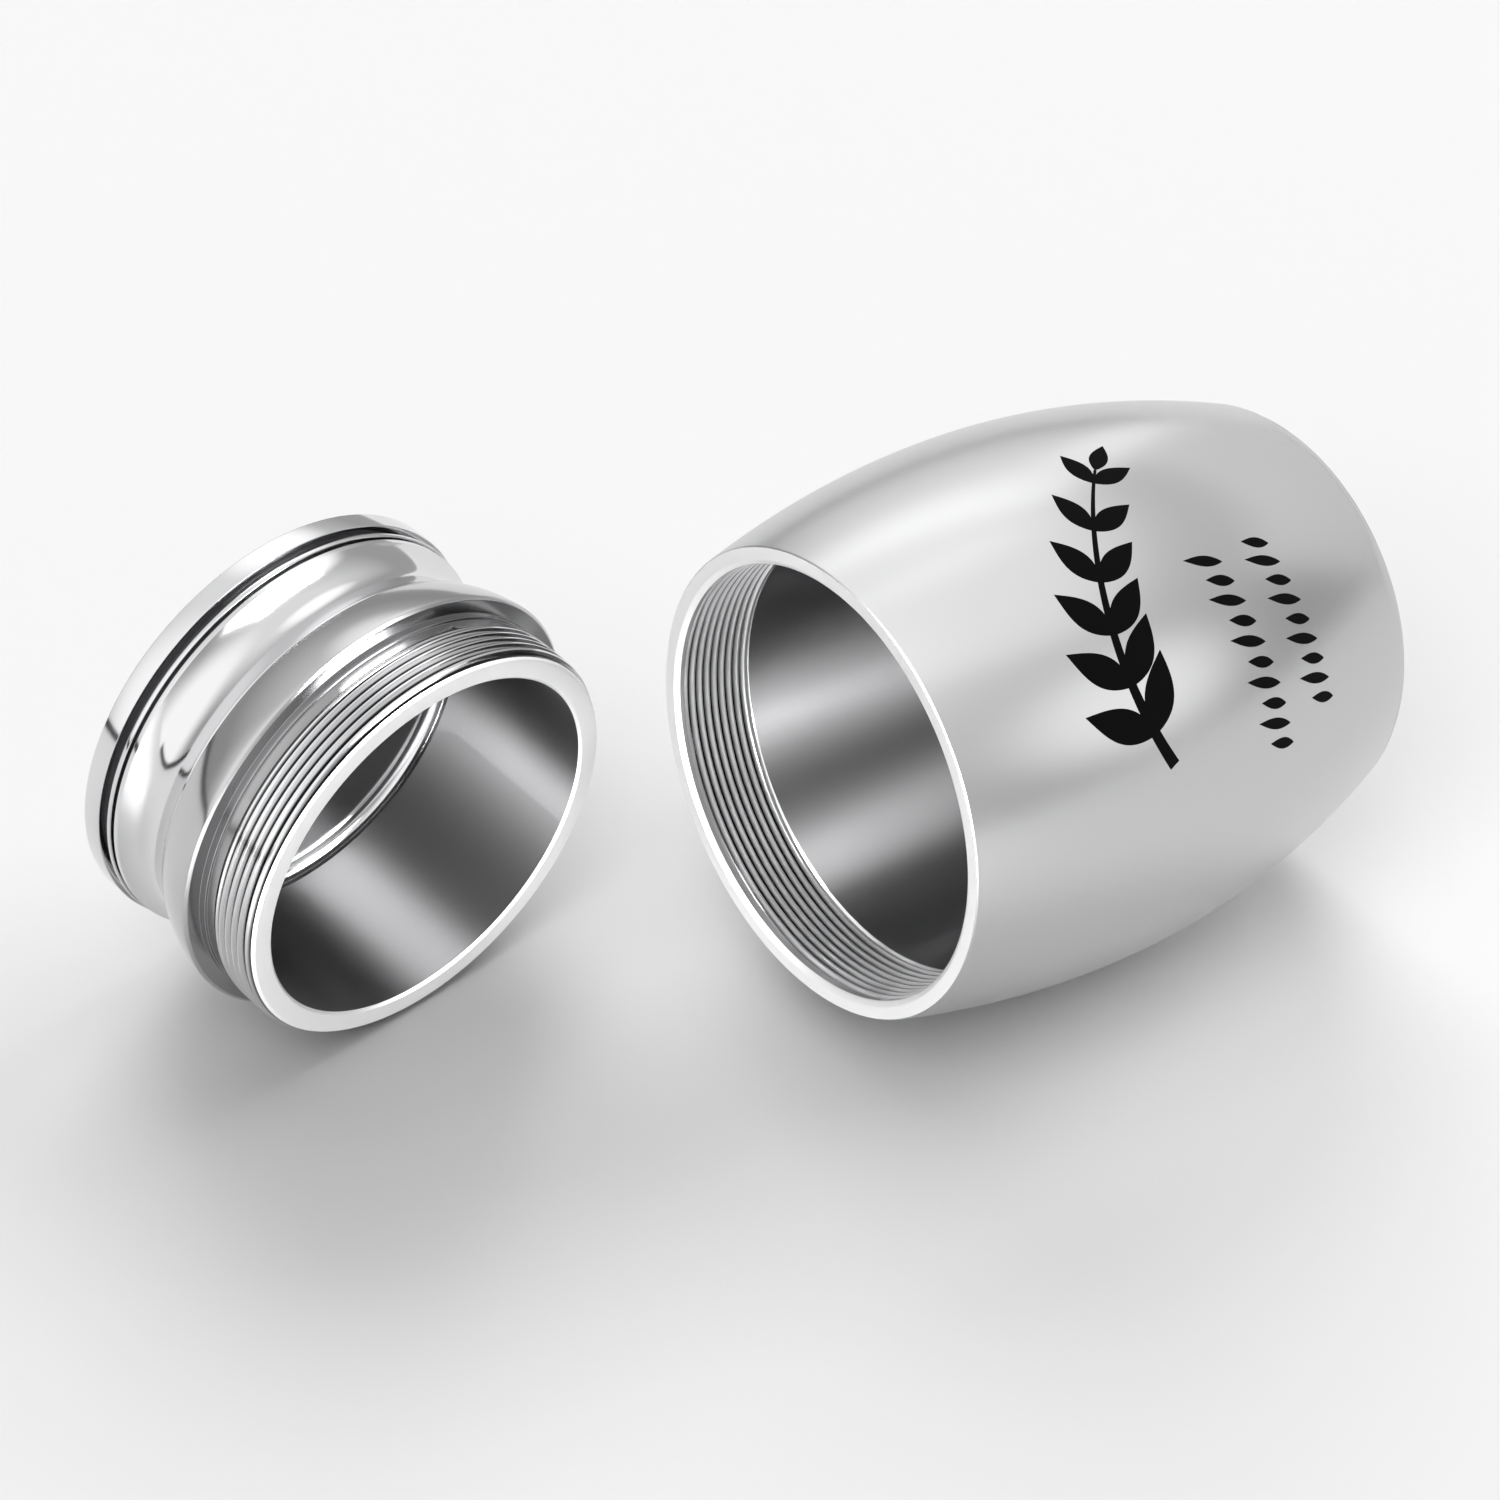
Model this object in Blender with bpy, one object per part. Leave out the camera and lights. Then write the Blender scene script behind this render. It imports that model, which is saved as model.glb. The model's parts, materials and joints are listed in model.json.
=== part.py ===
"""Mini keepsake urn, lying open.

Two turned pieces of stainless steel. The urn body is a hollow barrel with a fine
internal thread in its mouth, and lies on its side. The screw-in lid lies beside the
mouth, on the edge of its flange. Each piece is turned about its own Z axis, which
points out of the body's mouth, and from the lid's threaded end to its top.
"""

import math

import bmesh
import bpy
from mathutils import Matrix, Vector

MM = 0.001
SEGMENTS = 48
WELD = 1e-7

# The thread that both pieces share
PITCH = 0.5 * MM
THREAD_DEPTH = 0.27 * MM
ROWS_PER_TURN = 2

# Urn body: heights run from its mouth at 0 down to its base
BODY_HEIGHT = 31.9 * MM
BELLY_RADIUS = 15.0 * MM
BELLY_DROP = 14.0 * MM
MOUTH_RADIUS = 13.15 * MM
BASE_RADIUS = 11.6 * MM
BASE_EDGE = 0.25 * MM
BASE_THICKNESS = 1.6 * MM
CHAMFER_RADIUS = 12.4 * MM
BORE_RADIUS = 12.13 * MM
BORE_FILLET = 1.5 * MM
BODY_THREAD_DROP = 0.45 * MM
BODY_THREAD_TURNS = 9

# Lid: heights run from its threaded end at 0 up to its top face
LID_HEIGHT = 13.25 * MM
LID_BORE_RADIUS = 10.65 * MM
LID_BORE_DEPTH = 11.1 * MM
LID_BORE_FILLET = 0.8 * MM
LID_CHAMFER = 0.15 * MM
THREAD_ROOT_RADIUS = 11.97 * MM
LID_THREAD_TURNS = 6
COLLAR_START = 3.75 * MM
COLLAR_RADIUS = 12.12 * MM
SEAT_HEIGHT = 4.2 * MM
FLANGE_RADIUS = 13.05 * MM
FLANGE_EDGE = 0.15 * MM
SHOULDER_TOP = 7.05 * MM
SHOULDER_RADIUS = 12.3 * MM
SHOULDER_BULGE = 0.12 * MM
COVE_START = 7.3 * MM
LEDGE_RADIUS = 12.05 * MM
NECK_HEIGHT = 9.2 * MM
NECK_RADIUS = 11.35 * MM
COVE_END = 10.8 * MM
BAND_RADIUS = 12.35 * MM
BAND_TOP = 11.1 * MM
GROOVE_RADIUS = 12.0 * MM
BEAD_START = 11.3 * MM
BEAD_TOP = 11.6 * MM
BEAD_RADIUS = 12.45 * MM
DISC_START = 12.05 * MM
DISC_RADIUS = 12.62 * MM
DISC_EDGE = 0.08 * MM

# How the two pieces lie. The barrel balances with its mouth a little raised, and the
# lid's threaded end is low. Headings are the way each Z axis points, seen from above.
BODY_HEADING = math.radians(180)
BODY_TILT = math.radians(4.0)
LID_HEADING = math.radians(96.5)
LID_TILT = math.radians(8.1)
LID_OFFSET = Vector((-16.55, 11.83, 0.0)) * MM
MOUTH_GAP = 2.0 * MM

STEEL_COLOUR = (0.62, 0.62, 0.63, 1.0)


def clear_scene():
    for thing in list(bpy.data.objects):
        bpy.data.objects.remove(thing, do_unlink=True)


def steel(name, roughness):
    material = bpy.data.materials.new(name)
    material.use_nodes = True
    shader = material.node_tree.nodes["Principled BSDF"]
    shader.inputs["Base Color"].default_value = STEEL_COLOUR
    shader.inputs["Metallic"].default_value = 1.0
    shader.inputs["Roughness"].default_value = roughness
    return material


def around(radius, height, turn):
    """A point on a circle about the axis, where turn is a fraction of a full turn."""
    angle = math.tau * turn
    return Vector((radius * math.cos(angle), radius * math.sin(angle), height))


def arc(radius, height, size, start, end, steps=3):
    """Outline points on an arc about (radius, height), between two angles in degrees."""
    points = []
    for step in range(steps + 1):
        angle = math.radians(start + (end - start) * step / steps)
        points.append((radius + size * math.cos(angle), height + size * math.sin(angle)))
    return points


def curve(start, end, steps, shape):
    """Outline points at even heights, with the radius that shape gives at each."""
    heights = [start + (end - start) * step / steps for step in range(steps + 1)]
    return [(shape(height), height) for height in heights]


def body_side(height):
    """The barrel's outer radius: one parabola above the belly and another below it."""
    rise = height + BELLY_DROP
    if rise > 0:
        return BELLY_RADIUS - (BELLY_RADIUS - MOUTH_RADIUS) * (rise / BELLY_DROP) ** 2
    lower = BODY_HEIGHT - BELLY_DROP
    return BELLY_RADIUS - (BELLY_RADIUS - BASE_RADIUS) * (rise / lower) ** 2


def shoulder_side(height):
    """The lid's shoulder: a cone that swells a little between the flange and the ledge."""
    start = SEAT_HEIGHT + 2 * FLANGE_EDGE
    share = (height - start) / (SHOULDER_TOP - start)
    cone = FLANGE_RADIUS + (SHOULDER_RADIUS - FLANGE_RADIUS) * share
    return cone + SHOULDER_BULGE * 4 * share * (1 - share)


def cove_side(height):
    """The hollow neck under the lid's top disc: a parabola on each side of its waist."""
    edge, rim = (COVE_START, LEDGE_RADIUS) if height < NECK_HEIGHT else (COVE_END, BAND_RADIUS)
    share = (height - NECK_HEIGHT) / (edge - NECK_HEIGHT)
    return NECK_RADIUS + (rim - NECK_RADIUS) * share ** 2


def add_outline(mesh, outline):
    """Rings of vertices for an outline; a radius of 0 is a single vertex on the axis."""
    rings = []
    for radius, height in outline:
        if radius == 0:
            rings.append([mesh.verts.new((0, 0, height))] * SEGMENTS)
        else:
            turns = [turn / SEGMENTS for turn in range(SEGMENTS)]
            rings.append([mesh.verts.new(around(radius, height, turn)) for turn in turns])
    return rings


def add_thread(mesh, radius, bottom, turns):
    """Rings that follow a right-hand helix from one plain ring to the next.

    Every second ring stands a thread's depth outside the radius, and the depth fades
    out over the first and the last turn.
    """
    top = bottom + turns * PITCH
    rings = []
    for row in range(-ROWS_PER_TURN, turns * ROWS_PER_TURN + 1):
        ring = []
        for turn in range(SEGMENTS):
            height = bottom + PITCH * (row / ROWS_PER_TURN + turn / SEGMENTS)
            height = min(max(height, bottom), top)
            fade = min(1.0, (height - bottom) / PITCH, (top - height) / PITCH)
            swell = THREAD_DEPTH * fade * (row % 2)
            ring.append(mesh.verts.new(around(radius + swell, height, turn / SEGMENTS)))
        rings.append(ring)
    return rings


def skin(mesh, rings, climb=0):
    """Faces between rings; a helix's rings climb by that many rows in each turn."""
    last = len(rings) - 1
    for row in range(last):
        for turn in range(SEGMENTS):
            ahead = (turn + 1) % SEGMENTS
            lift = climb if ahead == 0 else 0
            lower, upper = rings[min(row + lift, last)], rings[min(row + 1 + lift, last)]
            corners = (rings[row][turn], lower[ahead], upper[ahead], rings[row + 1][turn])
            corners = list(dict.fromkeys(corners))
            if len(corners) > 2:
                mesh.faces.new(corners)


def turned(name, before, thread, after, material):
    """A closed turned solid: an outline, a threaded stretch, and a second outline."""
    mesh = bmesh.new()
    threaded = add_thread(mesh, *thread)
    first, second = add_outline(mesh, before), add_outline(mesh, after)
    skin(mesh, first)
    skin(mesh, threaded, climb=ROWS_PER_TURN)
    skin(mesh, second)
    bmesh.ops.remove_doubles(mesh, verts=mesh.verts, dist=WELD)
    bmesh.ops.recalc_face_normals(mesh, faces=mesh.faces)
    data = bpy.data.meshes.new(name)
    mesh.to_mesh(data)
    mesh.free()
    data.shade_smooth()
    data.set_sharp_from_angle(angle=math.radians(25))
    data.materials.append(material)
    piece = bpy.data.objects.new(name, data)
    bpy.context.scene.collection.objects.link(piece)
    return piece


def build_body():
    floor = -BODY_HEIGHT + BASE_THICKNESS
    fillet_height = floor + BORE_FILLET
    thread_top = -BODY_THREAD_DROP
    thread_bottom = thread_top - BODY_THREAD_TURNS * PITCH
    base = [(0, -BODY_HEIGHT)]
    base += arc(BASE_RADIUS - BASE_EDGE, -BODY_HEIGHT + BASE_EDGE, BASE_EDGE, -90, -15)
    side = curve(-BODY_HEIGHT + 2 * BASE_EDGE, 0, 10, body_side)
    lip = [(CHAMFER_RADIUS, 0), (BORE_RADIUS, -BODY_THREAD_DROP / 2), (BORE_RADIUS, thread_top)]
    bore = [(BORE_RADIUS, thread_bottom)]
    bore += arc(BORE_RADIUS - BORE_FILLET, fillet_height, BORE_FILLET, 0, -90)
    bore += [(0, floor)]
    thread = (BORE_RADIUS, thread_bottom, BODY_THREAD_TURNS)
    return turned("urn_body", base + side + lip, thread, bore, steel("satin steel", 0.3))


def lid_inside():
    """From the blind bore's floor out to the end face and the foot of the thread."""
    centre = (LID_BORE_RADIUS - LID_BORE_FILLET, LID_BORE_DEPTH - LID_BORE_FILLET)
    outline = [(0, LID_BORE_DEPTH)]
    outline += arc(*centre, LID_BORE_FILLET, 90, 0)
    outline += [(LID_BORE_RADIUS, LID_CHAMFER), (LID_BORE_RADIUS + LID_CHAMFER, 0)]
    outline += [(THREAD_ROOT_RADIUS - LID_CHAMFER, 0), (THREAD_ROOT_RADIUS, LID_CHAMFER)]
    return outline


def lid_outside():
    """From the end of the thread, over the flange, the cove and the disc, to the top."""
    flange_middle = SEAT_HEIGHT + FLANGE_EDGE
    outline = [(THREAD_ROOT_RADIUS, LID_CHAMFER + LID_THREAD_TURNS * PITCH)]
    outline += [(THREAD_ROOT_RADIUS, COLLAR_START), (COLLAR_RADIUS, COLLAR_START)]
    outline += [(COLLAR_RADIUS, SEAT_HEIGHT), (FLANGE_RADIUS - FLANGE_EDGE, SEAT_HEIGHT)]
    outline += [(FLANGE_RADIUS, flange_middle)]
    outline += curve(flange_middle + FLANGE_EDGE, SHOULDER_TOP, 4, shoulder_side)
    outline += [(LEDGE_RADIUS, SHOULDER_TOP)]
    outline += curve(COVE_START, COVE_END, 8, cove_side)
    outline += [(BAND_RADIUS, BAND_TOP), (GROOVE_RADIUS, BAND_TOP)]
    outline += [(GROOVE_RADIUS, BEAD_START), (BEAD_RADIUS, BEAD_START)]
    outline += [(BEAD_RADIUS, BEAD_TOP), (GROOVE_RADIUS, BEAD_TOP), (GROOVE_RADIUS, DISC_START)]
    outline += [(DISC_RADIUS - DISC_EDGE, DISC_START), (DISC_RADIUS, DISC_START + DISC_EDGE)]
    outline += [(DISC_RADIUS, LID_HEIGHT - DISC_EDGE), (DISC_RADIUS - DISC_EDGE, LID_HEIGHT)]
    outline += [(0, LID_HEIGHT)]
    return outline


def build_lid():
    thread = (THREAD_ROOT_RADIUS, LID_CHAMFER, LID_THREAD_TURNS)
    return turned("lid", lid_inside(), thread, lid_outside(), steel("polished steel", 0.1))


def direction(heading, tilt):
    flat = Vector((math.cos(heading), math.sin(heading), 0))
    return flat * math.cos(tilt) + Vector((0, 0, math.sin(tilt)))


def lay_down(piece, heading, tilt, place):
    """Tips a piece so that its Z axis points along heading and tilt, and sets it on the
    floor on one of its flat facets."""
    facet = Matrix.Rotation(math.pi / SEGMENTS, 4, "Z")
    tip = Matrix.Rotation(heading, 4, "Z") @ Matrix.Rotation(math.pi / 2 - tilt, 4, "Y")
    lying = Matrix.Translation(place) @ tip @ facet
    lowest = min((lying @ vertex.co).z for vertex in piece.data.vertices)
    piece.matrix_world = Matrix.Translation((0, 0, -lowest)) @ lying


def swing_axis(lid, body):
    """Where the lid's swing has its axis: the one turn, with no slide along it, that
    takes the lid's axis from where it lies to the line of the body's mouth."""
    start, end = direction(LID_HEADING, LID_TILT), direction(BODY_HEADING, BODY_TILT)
    here = lid.matrix_world.translation
    there = body.matrix_world.translation + end * MOUTH_GAP
    across, middle = start.cross(end).normalized(), (start + end).normalized()
    step = there - here
    axis = (across * step.dot(middle) - middle * step.dot(across)).normalized()
    axis = axis if axis.z > 0 else -axis
    flat_start, flat_end = start - axis * start.dot(axis), end - axis * end.dot(axis)
    angle = flat_start.angle(flat_end)
    centre = (here + there) / 2 + axis.cross(step) / (2 * math.tan(angle / 2))
    return centre, axis, angle


def hang_on_swing(lid, body):
    """Parents the lid to an empty on the swing's axis, with the lid where it lies."""
    centre, axis, _ = swing_axis(lid, body)
    swing = bpy.data.objects.new("lid_swing", None)
    bpy.context.scene.collection.objects.link(swing)
    swing.matrix_world = Matrix.Translation(centre) @ axis.to_track_quat("Z", "Y").to_matrix().to_4x4()
    lid.parent = swing
    lid.matrix_parent_inverse = swing.matrix_world.inverted()


def centre_on_origin(pieces):
    """Moves the pieces together, so that the origin is midway between their sides."""
    corners = [piece.matrix_world @ vertex.co for piece in pieces for vertex in piece.data.vertices]
    for side in (0, 1):
        places = [spot[side] for spot in corners]
        middle = (min(places) + max(places)) / 2
        for piece in pieces:
            piece.matrix_world.translation[side] -= middle


def main():
    clear_scene()
    body, lid = build_body(), build_lid()
    lay_down(body, BODY_HEADING, BODY_TILT, Vector((0, 0, 0)))
    lay_down(lid, LID_HEADING, LID_TILT, LID_OFFSET)
    centre_on_origin([body, lid])
    hang_on_swing(lid, body)


main()
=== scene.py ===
"""Looks of a mini keepsake urn that lies open, with its screw-in lid beside the mouth.

Each piece is turned about its own Z axis at the origin, as on a lathe, and is then moved
to the place that the frame's mounts give. Heights run along that axis: from the mouth at
0 down to the base on the urn body, and from the threaded end at 0 up to the top on the lid.
"""

import json
import math
from functools import partial

import bpy
from bpy.props import FloatProperty, FloatVectorProperty, IntProperty, PointerProperty
from mathutils import Matrix, Vector


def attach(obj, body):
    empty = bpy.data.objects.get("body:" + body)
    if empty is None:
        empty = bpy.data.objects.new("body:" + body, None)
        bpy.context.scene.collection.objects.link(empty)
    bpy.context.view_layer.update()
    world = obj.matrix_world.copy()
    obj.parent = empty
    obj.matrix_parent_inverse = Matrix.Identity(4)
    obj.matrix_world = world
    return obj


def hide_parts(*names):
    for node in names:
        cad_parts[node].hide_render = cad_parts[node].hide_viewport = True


bl_info = {
    "name": "Keepsake urn looks",
    "version": (1, 0, 0),
    "blender": (4, 5, 0),
    "location": "3D View > Sidebar > Urn",
    "description": "Builds the urn body, its lid, the engraving and the studio",
    "category": "Object",
}

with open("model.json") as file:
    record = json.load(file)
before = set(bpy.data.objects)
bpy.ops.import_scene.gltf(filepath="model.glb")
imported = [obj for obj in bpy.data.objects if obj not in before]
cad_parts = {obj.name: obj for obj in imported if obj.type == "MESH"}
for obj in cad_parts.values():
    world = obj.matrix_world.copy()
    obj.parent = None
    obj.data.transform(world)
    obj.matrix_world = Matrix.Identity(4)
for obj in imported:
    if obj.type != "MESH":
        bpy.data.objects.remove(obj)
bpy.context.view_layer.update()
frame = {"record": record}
MOUNTS = {mount["name"]: mount for mount in frame["record"]["mounts"]}

MM = 0.001
SEGMENTS = 256
ROWS_PER_PITCH = 10
# Past 0.5, the wave that draws a thread is cut off to flats at its crests and roots
THREAD_WAVE = 0.62
WELD = 1e-6
SPECK = 1e-4
SMOOTH_ANGLE = math.radians(28)


def linear(code):
    """An sRGB hex colour as linear red, green and blue."""
    shares = [int(code[place:place + 2], 16) / 255 for place in (1, 3, 5)]
    return [part / 12.92 if part <= 0.04045 else ((part + 0.055) / 1.055) ** 2.4 for part in shares]


def length(name, description, millimetres):
    """A property that holds a length, with its default in millimetres."""
    return FloatProperty(
        name=name, description=description, default=millimetres * MM, unit="LENGTH", precision=5
    )


def colour(name, description, code):
    """A property that holds a colour, with its default as an sRGB hex code."""
    return FloatVectorProperty(
        name=name, description=description, subtype="COLOR", min=0, max=1, default=linear(code)
    )


class UrnThreadSettings(bpy.types.PropertyGroup):
    pitch: length("Pitch", "Distance between two crests of the shared thread", 0.5)
    depth: length("Depth", "Height of a crest over its groove", 0.27)
    body_turns: IntProperty(name="Body turns", description="Turns in the mouth", default=9)
    lid_turns: IntProperty(name="Lid turns", description="Turns on the lid", default=6)


class UrnBodySettings(bpy.types.PropertyGroup):
    height: length("Height", "From the mouth's rim to the base", 31.9)
    belly_radius: length("Belly radius", "The barrel's largest radius", 15.0)
    belly_drop: length("Belly drop", "From the rim down to the belly", 14.0)
    mouth_radius: length("Mouth radius", "Outer radius of the rim", 13.15)
    base_radius: length("Base radius", "Outer radius of the base", 11.6)
    bore_radius: length("Bore radius", "Radius of the smooth bore", 12.13)
    base_thickness: length("Base thickness", "Steel between the bore and the base", 1.6)
    steel: colour("Satin steel", "Colour of the satin outside", "#C2C2C3")
    # The bore's darker colour is painted shade for the inside of the deep bore
    shaded_bore_steel: colour("Bore steel", "Colour of the turned bore", "#747475")


class UrnLidSettings(bpy.types.PropertyGroup):
    height: length("Height", "From the threaded end to the top", 13.25)
    bore_radius: length("Bore radius", "Radius of the blind bore", 10.65)
    bore_depth: length("Bore depth", "Depth of the blind bore", 11.1)
    root_radius: length("Root radius", "Radius at the foot of the thread", 11.97)
    flange_radius: length("Flange radius", "Radius at the sharp flange edge", 13.05)
    neck_radius: length("Neck radius", "Smallest radius of the hollow neck", 11.35)
    disc_radius: length("Disc radius", "Radius of the top disc", 12.62)
    steel: colour("Polished steel", "Colour of the mirror polish", "#DEDEDF")
    # The blind bore's darker colour is painted shade for the inside of the bore
    shaded_bore_steel: colour("Bore steel", "Colour of the turned blind bore", "#7C7C7D")


class UrnEngravingSettings(bpy.types.PropertyGroup):
    centre_height: length("Height", "Height of the sprig's middle on the barrel", -12.0)
    black: colour("Blackening", "Colour of the engraved marks", "#060607")


class UrnStudioSettings(bpy.types.PropertyGroup):
    floor: colour("Floor", "Colour of the pale floor", "#F4F4F4")
    walls: colour("Walls", "Colour that the studio's walls reflect", "#AEAEAE")
    ceiling: colour("Ceiling", "Colour that the studio's ceiling reflects", "#F8F8F8")
    fill: FloatProperty(
        name="Fill", description="Soft light that reaches the floor from all round", default=0.02
    )


# --- Outlines and turned shapes -------------------------------------------------------

def arc(radius, height, size, start, end, steps=8):
    """Outline points on an arc about (radius, height), between two angles in degrees."""
    angles = [math.radians(start + (end - start) * step / steps) for step in range(steps + 1)]
    return [Vector((radius + size * math.cos(a), height + size * math.sin(a))) for a in angles]


def curve(start, end, steps, shape):
    """Outline points at even heights, with the radius that shape gives at each."""
    heights = [start + (end - start) * step / steps for step in range(steps + 1)]
    return [Vector((shape(height), height)) for height in heights]


def eased(before, corner, after, size, steps=4):
    """The points that round a corner off, reaching size along each of its two sides."""
    start = corner + (before - corner).normalized() * size
    end = corner + (after - corner).normalized() * size
    points = []
    for step in range(steps + 1):
        share = step / steps
        points.append(start.lerp(corner, share).lerp(corner.lerp(end, share), share))
    return points


def corners(stops):
    """Outline points for (radius, height, rounding) stops, the first and last left sharp."""
    places = [Vector(stop[:2]) for stop in stops]
    points = [places[0]]
    for before, corner, after, stop in zip(places, places[1:], places[2:], stops[1:]):
        points += eased(before, corner, after, stop[2]) if stop[2] else [corner]
    return points + [places[-1]]


def start_piece():
    """Deselects everything, so that the next operator acts on nothing but its own piece."""
    bpy.ops.object.select_all(action="DESELECT")


def draw_outline(name, outline):
    """An open chain of edges in the XZ plane, extruded from one vertex."""
    start_piece()
    bpy.ops.mesh.primitive_plane_add(size=SPECK, enter_editmode=True, location=(0, 0, 0))
    bpy.context.object.name = name
    bpy.ops.mesh.merge(type="CENTER")
    bpy.ops.transform.translate(value=(outline[0].x, 0, outline[0].y))
    for before, after in zip(outline, outline[1:]):
        step = after - before
        bpy.ops.mesh.extrude_region_move(TRANSFORM_OT_translate={"value": (step.x, 0, step.y)})
    return bpy.context.object


def turn_outline(name, outline):
    """The solid's skin that an outline sweeps about the Z axis."""
    piece = draw_outline(name, outline)
    bpy.ops.mesh.select_all(action="SELECT")
    bpy.ops.mesh.spin(steps=SEGMENTS, angle=math.tau, center=(0, 0, 0), axis=(0, 0, 1))
    bpy.ops.object.mode_set(mode="OBJECT")
    return piece


def thread_form(thread, radius, bottom):
    """One pitch of the thread's outline: a groove, a flank, a crest and a flank."""
    points = []
    for row in range(ROWS_PER_PITCH + 1):
        share = row / ROWS_PER_PITCH
        wave = 0.5 - THREAD_WAVE * math.cos(math.tau * share)
        swell = thread.depth * min(max(wave, 0), 1)
        points.append(Vector((radius + swell, bottom + thread.pitch * (share - 1))))
    return points


def cut_thread(name, thread, radius, bottom, turns):
    """A right-hand thread between two plain rings, its depth fading out at both ends."""
    top = bottom + turns * thread.pitch
    piece = draw_outline(name, thread_form(thread, radius, bottom))
    bpy.ops.object.mode_set(mode="OBJECT")
    screw = piece.modifiers.new("Thread", "SCREW")
    screw.steps = screw.render_steps = SEGMENTS
    screw.screw_offset = thread.pitch
    screw.iterations = turns + 1
    bpy.ops.object.modifier_apply(modifier=screw.name)
    for vertex in piece.data.vertices:
        spot = vertex.co
        height = min(max(spot.z, bottom), top)
        fade = min(1, (height - bottom) / thread.pitch, (top - height) / thread.pitch)
        reach = math.hypot(spot.x, spot.y)
        scale = (radius + (reach - radius) * fade) / reach
        vertex.co = (spot.x * scale, spot.y * scale, height)
    return piece


def weld(name, parts):
    """Joins turned stretches into one closed skin with its faces pointing out."""
    start_piece()
    for part in parts:
        part.select_set(True)
    bpy.context.view_layer.objects.active = parts[0]
    bpy.ops.object.join()
    bpy.ops.object.mode_set(mode="EDIT")
    bpy.ops.mesh.select_all(action="SELECT")
    bpy.ops.mesh.remove_doubles(threshold=WELD)
    bpy.ops.mesh.normals_make_consistent(inside=False)
    bpy.ops.object.mode_set(mode="OBJECT")
    bpy.ops.object.shade_smooth_by_angle(angle=SMOOTH_ANGLE)
    piece = bpy.context.object
    piece.name = piece.data.name = name
    return piece


def finish_by_place(piece, materials, chooser):
    """Gives each face the finish that chooser names for its radius and height."""
    for material in materials.values():
        piece.data.materials.append(material)
    names = list(materials)
    for face in piece.data.polygons:
        radius = math.hypot(face.center.x, face.center.y)
        face.material_index = names.index(chooser(radius, face.center.z))


# --- Places ---------------------------------------------------------------------------

def facing(z_axis):
    """A turn that takes Z to z_axis, with X level and Y as near upright as it can be."""
    side = Vector((0, 0, 1)).cross(z_axis).normalized()
    return Matrix((side, z_axis.cross(side), z_axis)).transposed().to_4x4()


def body_place():
    """From the body's own axes to the row frame: its Z axis leaves the base's face."""
    face, body = MOUNTS["base_face"], bpy.context.scene.urn_body
    upward = -Vector(face["axis"]).normalized()
    return Matrix.Translation(Vector(face["pos_m"]) + upward * body.height) @ facing(upward)


def lid_place():
    """From the lid's own axes to the row frame: its Z axis points out of its top face."""
    face, lid = MOUNTS["lid_top_face"], bpy.context.scene.urn_lid
    upward = Vector(face["axis"]).normalized()
    return Matrix.Translation(Vector(face["pos_m"]) - upward * lid.height) @ facing(upward)


def put_in_place(piece, place):
    """Moves a finished piece to its place in the row frame, with the place in its mesh."""
    start_piece()
    piece.select_set(True)
    bpy.context.view_layer.objects.active = piece
    piece.matrix_world = place
    bpy.ops.object.transform_apply(location=True, rotation=True, scale=True)


# --- Materials ------------------------------------------------------------------------

# A lathe tool's marks: rings 0.1 mm apart, which change slowly around the piece
RING_SPACING = 0.1 * MM
RINGS_ACROSS = 120
# Painted shade laid in the roots of the threads
PAINTED_ROOT_SHADE = linear("#141416")


def new_material(name):
    """A new material, with its node tree and its Principled shader."""
    material = bpy.data.materials.new(name)
    material.use_nodes = True
    return material, material.node_tree, material.node_tree.nodes["Principled BSDF"]


def add_node(tree, kind, settings=(), links=()):
    """Adds a node, sets its settings (name, value) and makes its links (input, output)."""
    node = tree.nodes.new(kind)
    for name, value in dict(settings).items():
        if hasattr(node, name):
            setattr(node, name, value)
        else:
            node.inputs[name].default_value = value
    for name, source in dict(links).items():
        tree.links.new(source, node.inputs[name])
    return node


def blend_colours(tree, amount, none, full):
    """A colour that goes from none to full as amount goes from 0 to 1."""
    mix = add_node(tree, "ShaderNodeMix", {"data_type": "RGBA"}, {"Factor": amount})
    mix.inputs[6].default_value = (*none, 1)
    mix.inputs[7].default_value = (*full, 1)
    return mix.outputs[2]


def own_axes(tree, place):
    """Coordinates along a piece's own axes, with its turning axis as Z."""
    spot = add_node(tree, "ShaderNodeTexCoord").outputs["Object"]
    settings = {
        "vector_type": "TEXTURE",
        "Location": place.translation,
        "Rotation": place.to_euler(),
    }
    return add_node(tree, "ShaderNodeMapping", settings, {"Vector": spot}).outputs["Vector"]


def turned_grain(tree, own):
    """Fine rings about the turning axis: noise that is short along it and long around it."""
    scale = (RINGS_ACROSS, RINGS_ACROSS, 1 / RING_SPACING)
    squeezed = add_node(tree, "ShaderNodeMapping", {"Scale": scale}, {"Vector": own})
    noise = {"Scale": 1.0, "Detail": 2.0}
    return add_node(tree, "ShaderNodeTexNoise", noise, {"Vector": squeezed.outputs["Vector"]})


def steel_finish(name, place, shade, roughness, spread=0.02):
    """Stainless steel: a grey metal whose roughness varies by spread with the turned grain."""
    material, tree, shader = new_material(name)
    shader.inputs["Base Color"].default_value = (*shade, 1)
    shader.inputs["Metallic"].default_value = 1.0
    own = own_axes(tree, place)
    rings = turned_grain(tree, own).outputs["Fac"]
    limits = {"To Min": roughness - spread, "To Max": roughness + spread}
    worn = add_node(tree, "ShaderNodeMapRange", limits, {"Value": rings})
    tree.links.new(worn.outputs["Result"], shader.inputs["Roughness"])
    return material, tree, shader, own


def satin_outside(place, shade):
    """Satin-polished stainless steel: broad, soft reflections with no visible scratches."""
    return steel_finish("satin_polished_steel", place, shade, 0.27, spread=0.004)[0]


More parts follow.
